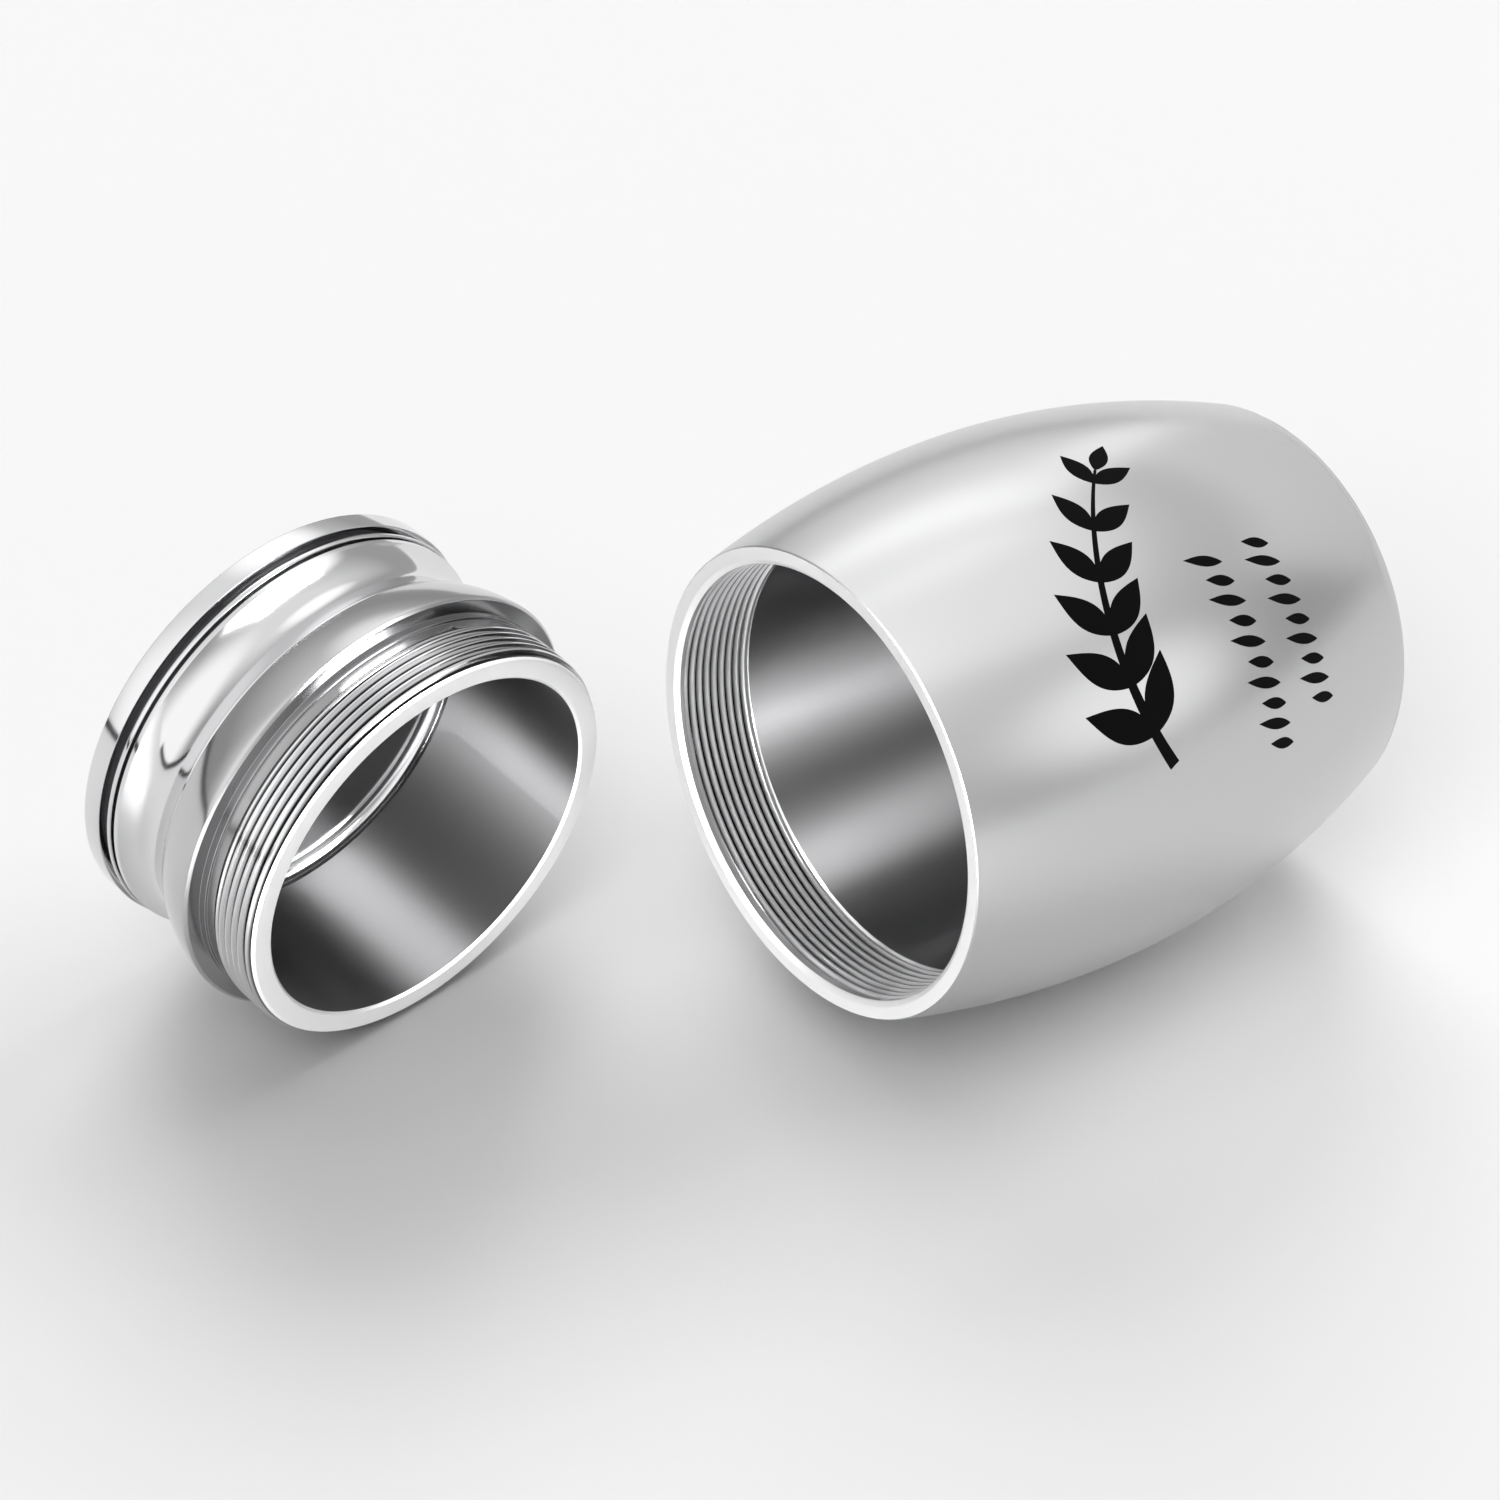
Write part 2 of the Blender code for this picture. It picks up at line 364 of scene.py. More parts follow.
def polished_steel(name, place, shade, roughness):
    """Mirror-polished stainless steel: sharp, bright reflections."""
    return steel_finish(name, place, shade, roughness, spread=0.01)[0]


def faced_steel(name, place):
    """Steel faced off dull and pale: rings too fine to see scatter the light, so half of it
    comes back as from a white surface."""
    material, _, shader, _ = steel_finish(name, place, linear("#FCFCFC"), 0.38)
    shader.inputs["Metallic"].default_value = 0.4
    return material


def threaded_steel(name, place, shade, crest, root, root_shade_reach, scatter):
    """A cut thread: bright crests, and roots darkened with painted shade for the hollows between
    them. The painted shade reaches up a share of the thread's depth, and a share of the light is
    scattered, not mirrored."""
    material, tree, shader, own = steel_finish(name, place, shade, 0.14, spread=0.02)
    shader.inputs["Metallic"].default_value = 1 - scatter
    flat = add_node(tree, "ShaderNodeMapping", {"Scale": (1, 1, 0)}, {"Vector": own})
    reach = add_node(tree, "ShaderNodeVectorMath", {"operation": "LENGTH"}, {0: flat.outputs[0]})
    # Painted shade: the colour darkens from the crests down to the roots
    limits = {"From Min": root, "From Max": root + root_shade_reach * (crest - root)}
    height = add_node(tree, "ShaderNodeMapRange", limits, {"Value": reach.outputs["Value"]})
    root_shaded = blend_colours(tree, height.outputs["Result"], PAINTED_ROOT_SHADE, shade)
    tree.links.new(root_shaded, shader.inputs["Base Color"])
    return material


def turned_bore(name, place, shade):
    """A bore left as turned: rings about its axis stretch each reflection along it."""
    material, tree, shader, _ = steel_finish(name, place, shade, 0.5, spread=0.03)
    shader.inputs["Anisotropic"].default_value = 1.0
    along = add_node(tree, "ShaderNodeCombineXYZ", dict(zip("XYZ", place.col[2])))
    turned = {"vector_type": "VECTOR", "convert_from": "OBJECT", "convert_to": "WORLD"}
    links = {"Vector": along.outputs["Vector"]}
    along_axis = add_node(tree, "ShaderNodeVectorTransform", turned, links)
    tree.links.new(along_axis.outputs["Vector"], shader.inputs["Tangent"])
    return material


def black_marks(shade):
    """Laser-blackened engraving: a dull black that gives almost no reflection."""
    material, _, shader = new_material("blackened_engraving")
    shader.inputs["Base Color"].default_value = (*shade, 1)
    shader.inputs["Roughness"].default_value = 0.8
    shader.inputs["Specular IOR Level"].default_value = 0.1
    return material


# --- Urn body -------------------------------------------------------------------------

BASE_EDGE = 0.25 * MM
RIM_EDGE = 0.06 * MM
RIM_ROUNDING = 0.04 * MM
CHAMFER_RADIUS = 12.4 * MM
BORE_FILLET = 1.5 * MM
BODY_THREAD_DROP = 0.45 * MM
SKIN_DEPTH = 0.1 * MM


def barrel_side(body, height):
    """The barrel's outer radius: one parabola above the belly and another below it."""
    rise = height + body.belly_drop
    end, reach = body.mouth_radius, body.belly_drop
    if rise <= 0:
        end, reach = body.base_radius, body.height - body.belly_drop
    return body.belly_radius - (body.belly_radius - end) * (rise / reach) ** 2


def body_outside(body):
    """From the middle of the base, up the barrel and over the rim, to the thread's top."""
    edge = BASE_EDGE
    side = partial(barrel_side, body)
    outline = [Vector((0, -body.height))]
    outline += arc(body.base_radius - edge, -body.height + edge, edge, -90, -12)
    outline += curve(-body.height + 1.6 * edge, -RIM_EDGE, 60, side)
    rim = corners([
        (body.mouth_radius, -RIM_EDGE, 0),
        (body.mouth_radius - RIM_EDGE, 0, 0),
        (CHAMFER_RADIUS, 0, RIM_ROUNDING),
        (body.bore_radius, -BODY_THREAD_DROP / 2, RIM_ROUNDING),
        (body.bore_radius, -BODY_THREAD_DROP, 0),
    ])
    return outline + rim[1:]


def body_inside(body, thread_bottom):
    """From the thread's bottom, down the smooth bore and round its fillet, to the middle."""
    floor = -body.height + body.base_thickness
    outline = curve(thread_bottom, floor + BORE_FILLET, 12, lambda height: body.bore_radius)
    outline += arc(body.bore_radius - BORE_FILLET, floor + BORE_FILLET, BORE_FILLET, 0, -90)[1:]
    return outline + [Vector((0, floor))]


class UrnAddBody(bpy.types.Operator):
    """Turns the urn body: a satin barrel with a fine thread in its mouth and a blind bore"""

    bl_idname = "urn.add_body"
    bl_label = "Add Urn Body"

    def execute(self, context):
        body, thread = context.scene.urn_body, context.scene.urn_thread
        place = body_place()
        thread_bottom = -BODY_THREAD_DROP - thread.body_turns * thread.pitch
        piece = weld("urn_barrel", [
            turn_outline("outside", body_outside(body)),
            cut_thread("thread", thread, body.bore_radius, thread_bottom, thread.body_turns),
            turn_outline("inside", body_inside(body, thread_bottom)),
        ])
        materials = {
            "satin": satin_outside(place, body.steel),
            "rim": faced_steel("faced_rim_steel", place),
            # Its roots get painted shade between the crests
            "thread": threaded_steel(
                "cut_thread_steel", place, linear("#F8F8F9"), body.bore_radius,
                body.bore_radius + thread.depth, root_shade_reach=0.58, scatter=0.34
            ),
            # Darker steel in the bore: painted shade for its deep inside
            "bore": turned_bore("turned_bore_steel", place, body.shaded_bore_steel),
        }

        def chooser(radius, height):
            on_side = height < -RIM_EDGE / 2 and radius > barrel_side(body, height) - SKIN_DEPTH
            on_base = height < -body.height + BASE_EDGE
            if on_side or on_base or radius > body.mouth_radius - RIM_EDGE:
                return "satin"
            if height > -BODY_THREAD_DROP / 2 - RIM_ROUNDING:
                return "rim"
            return "thread" if height > thread_bottom else "bore"

        finish_by_place(piece, materials, chooser)
        put_in_place(piece, place)
        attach(piece, "body")
        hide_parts("urn_body")
        return {"FINISHED"}


# --- Lid ------------------------------------------------------------------------------

EDGE = 0.03 * MM
LID_CHAMFER = 0.15 * MM
LID_BORE_FILLET = 0.8 * MM
COLLAR_START = 3.75 * MM
COLLAR_RADIUS = 12.12 * MM
SEAT_HEIGHT = 4.2 * MM
FLANGE_EDGE = 0.15 * MM
SHOULDER_TOP = 7.05 * MM
SHOULDER_RADIUS = 12.3 * MM
SHOULDER_BULGE = 0.12 * MM
COVE_START = 7.3 * MM
LEDGE_RADIUS = 12.05 * MM
NECK_HEIGHT = 9.2 * MM
COVE_END = 10.8 * MM
BAND_RADIUS = 12.35 * MM
BAND_TOP = 11.1 * MM
GROOVE_RADIUS = 12.0 * MM
BEAD_START = 11.3 * MM
BEAD_TOP = 11.6 * MM
BEAD_RADIUS = 12.45 * MM
DISC_START = 12.05 * MM


def shoulder_side(lid, height):
    """The shoulder: a cone that swells a little between the flange and the ledge."""
    start = SEAT_HEIGHT + 2 * FLANGE_EDGE
    share = (height - start) / (SHOULDER_TOP - start)
    cone = lid.flange_radius + (SHOULDER_RADIUS - lid.flange_radius) * share
    return cone + SHOULDER_BULGE * 4 * share * (1 - share)


def cove_side(lid, height):
    """The hollow neck under the top disc: a parabola on each side of its waist."""
    edge, rim = (COVE_START, LEDGE_RADIUS) if height < NECK_HEIGHT else (COVE_END, BAND_RADIUS)
    share = (height - NECK_HEIGHT) / (edge - NECK_HEIGHT)
    return lid.neck_radius + (rim - lid.neck_radius) * share ** 2


def lid_inside(lid):
    """From the middle of the blind bore out to the end face and the thread's foot."""
    centre = (lid.bore_radius - LID_BORE_FILLET, lid.bore_depth - LID_BORE_FILLET)
    outline = [Vector((0, lid.bore_depth))]
    outline += arc(*centre, LID_BORE_FILLET, 90, 0)
    outline += curve(centre[1], LID_CHAMFER + 2 * EDGE, 8, lambda height: lid.bore_radius)[1:]
    outline += corners([
        (lid.bore_radius, LID_CHAMFER + EDGE, 0),
        (lid.bore_radius, LID_CHAMFER, EDGE),
        (lid.bore_radius + LID_CHAMFER, 0, EDGE),
        (lid.root_radius - LID_CHAMFER, 0, EDGE),
        (lid.root_radius, LID_CHAMFER, 0),
    ])[1:]
    return outline


def lid_outside(lid, thread_top):
    """From the thread's end, over the flange, the cove, the bead and the disc, to the top."""
    seat_edge = SEAT_HEIGHT + FLANGE_EDGE
    shoulder_foot = seat_edge + FLANGE_EDGE
    stops = [
        (lid.root_radius, thread_top, 0),
        (lid.root_radius, COLLAR_START, EDGE),
        (COLLAR_RADIUS, COLLAR_START, EDGE),
        (COLLAR_RADIUS, SEAT_HEIGHT, EDGE),
        (lid.flange_radius - FLANGE_EDGE, SEAT_HEIGHT, EDGE),
        (lid.flange_radius, seat_edge, EDGE),
        (lid.flange_radius, shoulder_foot, 0),
    ]
    outline = corners(stops)
    outline += curve(shoulder_foot, SHOULDER_TOP - EDGE, 16, partial(shoulder_side, lid))[1:]
    outline += corners([
        (SHOULDER_RADIUS, SHOULDER_TOP - EDGE, 0),
        (SHOULDER_RADIUS, SHOULDER_TOP, EDGE),
        (LEDGE_RADIUS, SHOULDER_TOP, EDGE),
        (LEDGE_RADIUS, COVE_START, 0),
    ])[1:]
    outline += curve(COVE_START, COVE_END, 36, partial(cove_side, lid))[1:]
    outline += corners([
        (BAND_RADIUS, COVE_END, 0),
        (BAND_RADIUS, BAND_TOP, EDGE),
        (GROOVE_RADIUS, BAND_TOP, EDGE),
        (GROOVE_RADIUS, BEAD_START, EDGE),
        (BEAD_RADIUS, BEAD_START, 3 * EDGE),
        (BEAD_RADIUS, BEAD_TOP, 3 * EDGE),
        (GROOVE_RADIUS, BEAD_TOP, EDGE),
        (GROOVE_RADIUS, DISC_START, EDGE),
        (lid.disc_radius, DISC_START, 2 * EDGE),
        (lid.disc_radius, lid.height, 2 * EDGE),
        (0, lid.height, 0),
    ])[1:]
    return outline


class UrnAddLid(bpy.types.Operator):
    """Turns the screw-in lid: a disc, a hollow neck, a flange, a thread and a blind bore"""

    bl_idname = "urn.add_lid"
    bl_label = "Add Lid"

    def execute(self, context):
        lid, thread = context.scene.urn_lid, context.scene.urn_thread
        place = lid_place()
        thread_top = LID_CHAMFER + thread.lid_turns * thread.pitch
        piece = weld("lid_turning", [
            turn_outline("inside", lid_inside(lid)),
            cut_thread("thread", thread, lid.root_radius, LID_CHAMFER, thread.lid_turns),
            turn_outline("outside", lid_outside(lid, thread_top)),
        ])
        materials = {
            "polish": polished_steel("mirror_polished_steel", place, lid.steel, 0.1),
            # Turned and left, with blurred reflections; its greyer colour is painted shade in the
            # relief under the flange
            "collar": polished_steel("shaded_turned_collar_steel", place, linear("#A8A8A9"), 0.18),
            # Greyer than the mirror polish beside it: painted shade for the darker reflection on
            # the shoulder
            "shoulder": polished_steel("shaded_shoulder_steel", place, linear("#C4C4C5"), 0.14),
            # Nearly black: painted shade in the narrow grooves beside the bead
            "groove": polished_steel("painted_shade_groove_steel", place, linear("#4A4A4C"), 0.3),
            # Its roots get painted shade between the crests
            "thread": threaded_steel(
                "rolled_thread_steel", place, lid.steel, lid.root_radius + thread.depth,
                lid.root_radius, root_shade_reach=0.38, scatter=0.0
            ),
            "face": faced_steel("faced_end_steel", place),
            # Darker steel in the blind bore: painted shade for its deep inside
            "bore": turned_bore("turned_lid_bore_steel", place, lid.shaded_bore_steel),
            # The bore's bottom, faced with a fine cut: bright rings
            "floor": polished_steel("faced_bore_floor_steel", place, lid.steel, 0.12),
        }
        wall = (lid.bore_radius + lid.root_radius) / 2

        def chooser(radius, height):
            if height < LID_CHAMFER:
                return "face"
            if radius < wall and height < (lid.bore_depth + lid.height) / 2:
                return "bore" if height < lid.bore_depth - LID_BORE_FILLET else "floor"
            if height < thread_top:
                return "thread"
            if height < SEAT_HEIGHT:
                return "collar"
            if height < SHOULDER_TOP:
                return "shoulder"
            in_groove = BAND_TOP < height < DISC_START and radius < GROOVE_RADIUS + EDGE
            return "groove" if in_groove else "polish"

        finish_by_place(piece, materials, chooser)
        put_in_place(piece, place)
        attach(piece, "lid")
        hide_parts("lid")
        return {"FINISHED"}


# --- Engraving ------------------------------------------------------------------------

MARK_LIFT = 0.008 * MM
MARK_THICKNESS = 0.02 * MM
LEAST_WIDTH = 0.004 * MM
STEM_START = math.radians(20)
STEM_END = math.radians(84)
STEM_BOW = 3.2 * MM
STEM_DROP = 4.2 * MM
STEM_ROWS = 60
# Half the stem's width and a leaf's length, each at the stem's foot and at its tip
STEM_WIDTHS = (0.34 * MM, 0.08 * MM)
LEAF_SIZES = (4.6 * MM, 2.7 * MM)
LEAF_PAIRS = 6
LEAF_LEAN = math.radians(42)
# Where the first pair stands between two pairs' places, half a leaf's width as a share of
# its length, and a power that moves its fullest part towards its foot
FIRST_PAIR = 0.7
LEAF_WIDTH = 0.21
LEAF_POWER = 0.85
TIP_LEAN = math.radians(-50)
TIP_SIZE = 2.6 * MM
TIP_WIDTH = 0.5 * MM
# The rows of seeds: the height of each, the turn of its first seed in degrees, and how many
SEED_ROWS = ((-20.6 * MM, 13, 10), (-24.2 * MM, 18, 9))
SEED_TURN = 4.6
SEED_CLIMB = 0.15 * MM
SEED_SIZES = (1.9 * MM, 2.5 * MM)
SEED_LEAN = math.radians(72)
SEED_WIDTH = 0.32 * MM


def between(ends, share):
    """The value at a share of the way from the first end to the second."""
    return ends[0] + (ends[1] - ends[0]) * share


def stem_line(middle, share):
    """A point on the sprig's stem: the turn about the axis, and the height."""
    bow = 1 - (2 * share - 1) ** 2
    height = middle + bow * STEM_BOW - STEM_DROP * share
    return between((STEM_START, STEM_END), share), height


def on_barrel(body, turn, height):
    """The place just over the barrel's skin at a turn about the axis and a height."""
    radius = barrel_side(body, height) + MARK_LIFT
    return Vector((radius * math.cos(turn), radius * math.sin(turn), height))


def lay_stroke(body, line, width, rows=28):
    """A black stroke laid on the barrel: line gives its middle and width its half width."""
    start_piece()
    bpy.ops.mesh.primitive_grid_add(x_subdivisions=rows, y_subdivisions=2, size=2)
    piece = bpy.context.object
    for vertex in piece.data.vertices:
        share = (vertex.co.x + 1) / 2
        here, ahead = line(share), line(share + 0.01)
        along = Vector(((ahead[0] - here[0]) * body.belly_radius, ahead[1] - here[1])).normalized()
        aside = vertex.co.y * width(share)
        turn = here[0] - along.y * aside / body.belly_radius
        vertex.co = on_barrel(body, turn, here[1] + along.x * aside)
    return piece


def lay_leaf(body, root, lean, size, half, rows=28):
    """A leaf that starts at root and leans out at an angle, half its width at its fullest."""
    def line(share):
        step = size * share
        return root[0] + step * math.cos(lean) / body.belly_radius, root[1] + step * math.sin(lean)

    def width(share):
        fullness = math.sin(math.pi * min(max(share, 0), 1) ** LEAF_POWER)
        return max(half * fullness, LEAST_WIDTH)

    return lay_stroke(body, line, width, rows)


def lay_sprig(body, middle):
    """The strokes of the sprig: its stem, pairs of leaves that get smaller, and a tip."""
    stem = partial(stem_line, middle)
    strokes = [lay_stroke(body, stem, partial(between, STEM_WIDTHS), STEM_ROWS)]
    for pair in range(LEAF_PAIRS):
        share = (pair + FIRST_PAIR) / LEAF_PAIRS
        root, ahead = stem(share), stem(share + 0.01)
        way = math.atan2(ahead[1] - root[1], (ahead[0] - root[0]) * body.belly_radius)
        size = between(LEAF_SIZES, share)
        for side in (-1, 1):
            lean = way + side * LEAF_LEAN
            strokes.append(lay_leaf(body, root, lean, size, LEAF_WIDTH * size))
    strokes.append(lay_leaf(body, stem(1), TIP_LEAN, TIP_SIZE, TIP_WIDTH))
    return strokes


def lay_seeds(body):
    """The strokes of the rows of leaning seeds, every second one longer."""
    strokes = []
    for height, first, count in SEED_ROWS:
        for seed in range(count):
            root = math.radians(first + SEED_TURN * seed), height + SEED_CLIMB * seed
            size = SEED_SIZES[seed % 2]
            strokes.append(lay_leaf(body, root, SEED_LEAN, size, SEED_WIDTH, 14))
    return strokes


class UrnAddEngraving(bpy.types.Operator):
    """Lays a plain sprig of leaves and two rows of seeds on the barrel, blackened"""

    bl_idname = "urn.add_engraving"
    bl_label = "Add Engraving"

    def execute(self, context):
        body, marks = context.scene.urn_body, context.scene.urn_engraving
        strokes = lay_sprig(body, marks.centre_height) + lay_seeds(body)
        start_piece()
        for stroke in strokes:
            stroke.select_set(True)
        bpy.context.view_layer.objects.active = strokes[0]
        bpy.ops.object.join()
        piece = bpy.context.object
        piece.name = piece.data.name = "blackened_sprig"
        bpy.ops.object.mode_set(mode="EDIT")
        bpy.ops.mesh.select_all(action="SELECT")
        bpy.ops.mesh.remove_doubles(threshold=WELD)
        bpy.ops.mesh.normals_make_consistent(inside=False)
        bpy.ops.object.mode_set(mode="OBJECT")
        solid = piece.modifiers.new("Thickness", "SOLIDIFY")
        solid.thickness = MARK_THICKNESS
        solid.offset = -1
        bpy.ops.object.modifier_apply(modifier=solid.name)
        piece.data.materials.append(black_marks(marks.black))
        put_in_place(piece, body_place())
        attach(piece, "body")
        return {"FINISHED"}


# --- Studio ---------------------------------------------------------------------------

FLOOR_SIZE = 6.0
BOX_DISTANCE = 4.0
FLOOR_LIGHT_SIZE = 0.66
# Headings and climbs are in degrees, and a light's size is a share of its distance.
# Lights for the floor: name, heading, climb, and the share of its brightness they give
FLOOR_LIGHTS = (
    ("right_floor_light", -10, 25, 0.25),
    ("back_floor_light", 60, 40, 0.33),
    ("left_floor_light", 210, 50, 0.3),
    ("top_floor_light", 0, 89, 0.22),
)
# Lights that only the barrel mirrors: name, heading, climb, size and brightness
BARREL_WASHES = (
    ("low_barrel_wash", 14, 16, (1.1, 0.5), 0.5),
    ("top_barrel_wash", -10, 72, (0.9, 0.9), 0.38),
    ("far_barrel_wash", 54, 27, (0.6, 0.7), 0.62),
    ("mouth_barrel_wash", -62, -16, (0.55, 0.6), 0.42),
)
# Lights that draw bands: angle across the bore, lean out of its axis, size and brightness
URN_BANDS = ((-5, 45, (0.42, 1.1), 25), (80, 45, (0.45, 1.1), 15))
LID_BANDS = ((-22, 45, (0.3, 1.1), 31), (110, 42, (0.58, 0.6), 15))
# The light that only the dull steel of the faced ends and the threads scatters
ENDS_LIGHT = ("faced_ends_light", -135, 15, (0.5, 0.5), 7)
# Glows on the studio's walls: heading, climb, width, softness and brightness
GLOWS = (
    (-165, 20, 34, 32, 1.25),
    (-57, 22, 7, 15, 1.55),
    (55, 51, 5, 20, 1.42),
)
# Where the walls end and the full ceiling starts, as the sine of the climb
WALL_TOP = 0.25
CEILING_FOOT = 0.85
# The dark gap over the floor's far edge: its sine and tolerance, and which way it lies
GAP_CLIMB = 0.025
GAP_TOLERANCE = 0.03
GAP_SIDE = (150, 0, 60, 6)
CAMERA_AIM = Vector((1.2, 2.43, 12.0)) * MM
CAMERA_DISTANCE = 229.26 * MM
CAMERA_HEADING = 52.5
CAMERA_DROP = 38.18
CAMERA_LENS = 100.8
CAMERA_SENSOR = 36
CAMERA_NEAR = 0.01


def direction(heading, climb):
    """The unit vector at a heading from +X and a climb from the floor, both in degrees."""
    heading, climb = math.radians(heading), math.radians(climb)
    flat = Vector((math.cos(heading), math.sin(heading), 0))
    return flat * math.cos(climb) + Vector((0, 0, math.sin(climb)))


def add_softbox(name, way, size, brightness, along=Vector((0, 0, 1))):
    """A softbox that faces the object from the direction way, with its height along a
    direction. A perfect mirror shows it as brightness times pure white."""
    bpy.ops.object.light_add(type="AREA", location=way * BOX_DISTANCE)
    box = bpy.context.object
    box.name = box.data.name = name
    side = along.cross(way).normalized()
    box.rotation_euler = Matrix((side, way.cross(side), way)).transposed().to_euler()
    box.data.shape = "RECTANGLE"
    box.data.size, box.data.size_y = (share * BOX_DISTANCE for share in size)
    box.data.energy = brightness * math.pi * box.data.size * box.data.size_y
    return box


def add_floor_light(name, heading, climb, share):
    """A softbox that no metal mirrors and that gives the floor a share of its brightness."""
    size = FLOOR_LIGHT_SIZE
    reach = size * size * math.sin(math.radians(climb)) / math.pi
    box = add_softbox(name, direction(heading, climb), (size, size), share / reach)
    box.visible_glossy = False
    return box


def add_band_light(piece_name, place, out, angle, lean, size, brightness):
    """A long light in the plane through a bore's axis, at an angle across it and leaning
    out of that axis. The bore's turned rings draw it as one bright band down the bore."""
    turn, lean = math.radians(angle), math.radians(lean)
    across = place.col[0].to_3d() * math.cos(turn) + place.col[1].to_3d() * math.sin(turn)
    way = out * math.cos(lean) + across * math.sin(lean)
    box = add_softbox(f"{piece_name}_band_{angle}", way, size, brightness, across - out)
    box.visible_diffuse = False
    only_for(box, piece_name)
    return box


def only_for(box, *piece_names):
    """Flags a light off from all but the pieces named, and from what they throw back."""
    group = bpy.data.collections.new(box.name)
    for name in piece_names:
        group.objects.link(bpy.data.objects[name])
    box.light_linking.receiver_collection = group
    box.light_linking.blocker_collection = group
    box.data.cycles.max_bounces = 0


def towards(tree, way, heading, climb, width, softness):
    """1 within width degrees of a direction, and 0 from softness degrees further out."""
    near = add_node(tree, "ShaderNodeVectorMath", {"operation": "DOT_PRODUCT"}, {0: way})
    near.inputs[1].default_value = direction(heading, climb)
    limits = {
        "interpolation_type": "SMOOTHSTEP",
        "From Min": math.cos(math.radians(width + softness)),
        "From Max": math.cos(math.radians(width)),
    }
    spot = add_node(tree, "ShaderNodeMapRange", limits, {"Value": near.outputs["Value"]})
    return spot.outputs["Result"]


def blend_to(tree, amount, below, grey):
    """Mixes a plain grey over the colour below, by amount."""
    mix = add_node(tree, "ShaderNodeMix", {"data_type": "RGBA"})
    tree.links.new(amount, mix.inputs["Factor"])
    tree.links.new(below, mix.inputs[6])
    mix.inputs[7].default_value = (grey, grey, grey, 1)
    return mix.outputs[2]


def light_world(studio):
    """Walls that brighten to the ceiling, with soft glows, and a thin dark gap over the floor's far
    edge. The floor itself gets only an even fill from it."""
    world = bpy.data.worlds.new("studio_walls")
    bpy.context.scene.world = world
    world.use_nodes = True
    tree = world.node_tree
    way = add_node(tree, "ShaderNodeTexCoord").outputs["Generated"]
    height = add_node(tree, "ShaderNodeSeparateXYZ", {}, {"Vector": way}).outputs["Z"]
    ramp = add_node(tree, "ShaderNodeValToRGB", {}, {"Fac": height})
    stops = ramp.color_ramp.elements
    stops[0].position, stops[0].color = WALL_TOP, (*studio.walls, 1)
    stops[1].position, stops[1].color = CEILING_FOOT, (*studio.ceiling, 1)
    shade = ramp.outputs["Color"]
    for *spot, level in GLOWS:
        shade = blend_to(tree, towards(tree, way, *spot), shade, level)
    gap = add_node(tree, "ShaderNodeMath", {"operation": "COMPARE"}, {0: height})
    gap.inputs[1].default_value = GAP_CLIMB
    gap.inputs[2].default_value = GAP_TOLERANCE
    back = towards(tree, way, *GAP_SIDE)
    both = add_node(tree, "ShaderNodeMath", {"operation": "MULTIPLY"}, {0: gap.outputs[0], 1: back})
    shade = blend_to(tree, both.outputs[0], shade, 0.0)
    on_floor = add_node(tree, "ShaderNodeLightPath").outputs["Diffuse Depth"]
    shade = blend_to(tree, on_floor, shade, studio.fill)
    tree.links.new(shade, tree.nodes["Background"].inputs["Color"])


class UrnAddStudio(bpy.types.Operator):
    """Adds the pale floor, the studio's walls and lights, and the camera"""

    bl_idname = "urn.add_studio"
    bl_label = "Add Studio"

    def execute(self, context):
        studio = context.scene.urn_studio
        start_piece()
        bpy.ops.mesh.primitive_plane_add(size=FLOOR_SIZE, location=(0, 0, 0))
        floor = context.object
        floor.name = floor.data.name = "studio_floor"
        material, _, shader = new_material("pale_matt_floor")
        shader.inputs["Base Color"].default_value = (*studio.floor, 1)
        shader.inputs["Roughness"].default_value = 0.9
        shader.inputs["Specular IOR Level"].default_value = 0.1
        floor.data.materials.append(material)
        light_world(studio)
        for light in FLOOR_LIGHTS:
            add_floor_light(*light)
        bpy.ops.object.camera_add(
            location=CAMERA_AIM - direction(CAMERA_HEADING, -CAMERA_DROP) * CAMERA_DISTANCE,
            rotation=(math.radians(90 - CAMERA_DROP), 0, math.radians(CAMERA_HEADING - 90)),
        )
        camera = context.object
        camera.data.lens = CAMERA_LENS
        camera.data.sensor_width = CAMERA_SENSOR
        camera.data.clip_start = CAMERA_NEAR
        context.scene.camera = camera
        context.scene.view_settings.view_transform = "Standard"
        return {"FINISHED"}


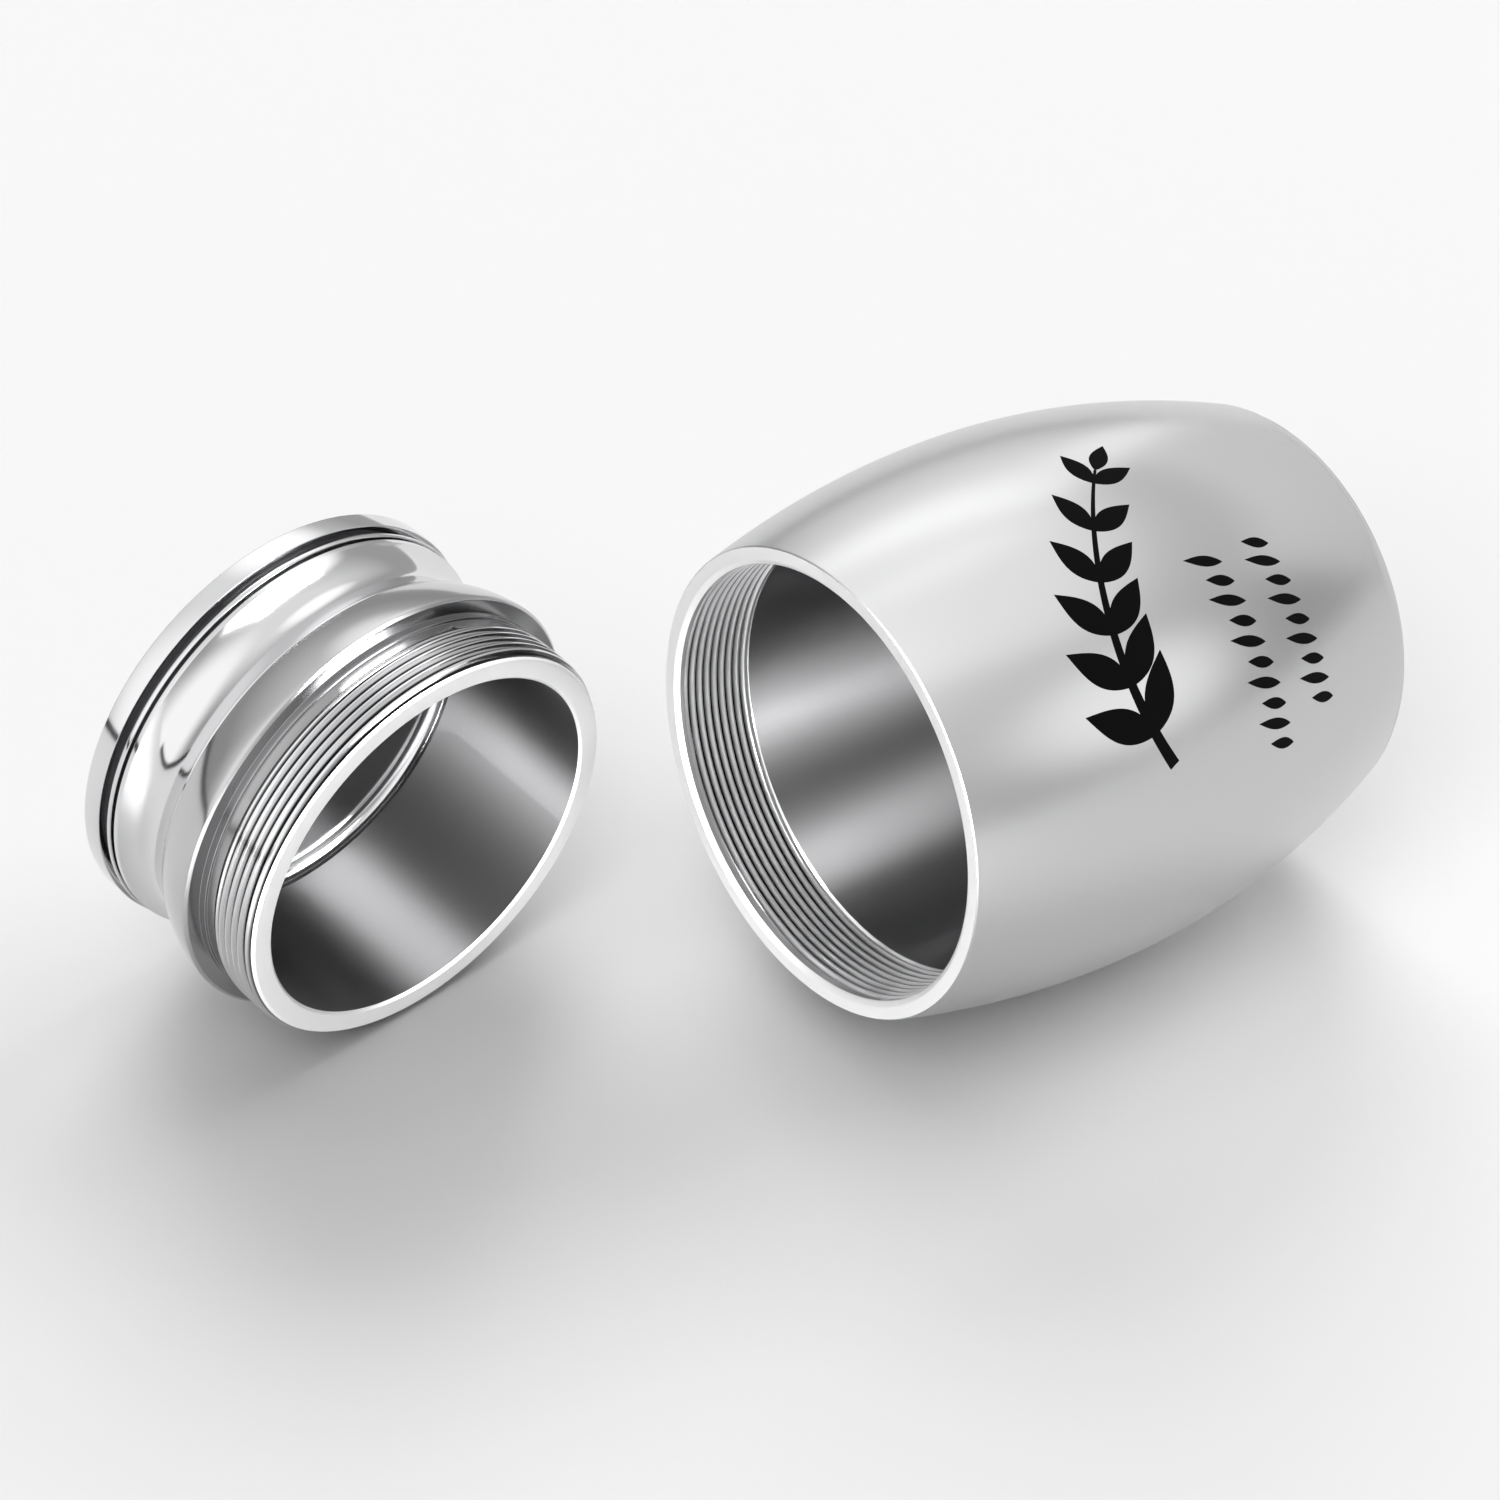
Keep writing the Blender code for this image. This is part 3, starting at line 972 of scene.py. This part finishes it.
class UrnAddBoreLights(bpy.types.Operator):
    """Adds the lights that draw bright bands down the two bores, and one for the faced ends"""

    bl_idname = "urn.add_bore_lights"
    bl_label = "Add Bore Lights"

    def execute(self, context):
        place = body_place()
        for band in URN_BANDS:
            add_band_light("urn_barrel", place, place.col[2].to_3d(), *band)
        place = lid_place()
        for band in LID_BANDS:
            add_band_light("lid_turning", place, -place.col[2].to_3d(), *band)
        name, heading, climb, size, brightness = ENDS_LIGHT
        ends = add_softbox(name, direction(heading, climb), size, brightness)
        ends.visible_glossy = False
        only_for(ends, "urn_barrel", "lid_turning")
        for name, heading, climb, size, brightness in BARREL_WASHES:
            wash = add_softbox(name, direction(heading, climb), size, brightness)
            wash.visible_diffuse = False
            only_for(wash, "urn_barrel")
        return {"FINISHED"}


class UrnPanel(bpy.types.Panel):
    bl_idname = "VIEW3D_PT_keepsake_urn"
    bl_label = "Keepsake Urn"
    bl_space_type = "VIEW_3D"
    bl_region_type = "UI"
    bl_category = "Urn"

    def draw(self, context):
        for name in SETTINGS:
            box = self.layout.box()
            group = getattr(context.scene, name)
            for key in group.__annotations__:
                box.prop(group, key)
        for operator in OPERATORS:
            self.layout.operator(operator.bl_idname)


SETTINGS = {
    "urn_thread": UrnThreadSettings,
    "urn_body": UrnBodySettings,
    "urn_lid": UrnLidSettings,
    "urn_engraving": UrnEngravingSettings,
    "urn_studio": UrnStudioSettings,
}
OPERATORS = (UrnAddStudio, UrnAddBody, UrnAddEngraving, UrnAddLid, UrnAddBoreLights)


def register():
    for kind in (*SETTINGS.values(), *OPERATORS, UrnPanel):
        bpy.utils.register_class(kind)
    for name, kind in SETTINGS.items():
        setattr(bpy.types.Scene, name, PointerProperty(type=kind))


def unregister():
    for name in SETTINGS:
        delattr(bpy.types.Scene, name)
    for kind in (UrnPanel, *OPERATORS, *SETTINGS.values()):
        bpy.utils.unregister_class(kind)


def main():
    register()
    bpy.ops.urn.add_studio()
    bpy.ops.urn.add_body()
    bpy.ops.urn.add_engraving()
    bpy.ops.urn.add_lid()
    bpy.ops.urn.add_bore_lights()


if __name__ == "__main__":
    main()
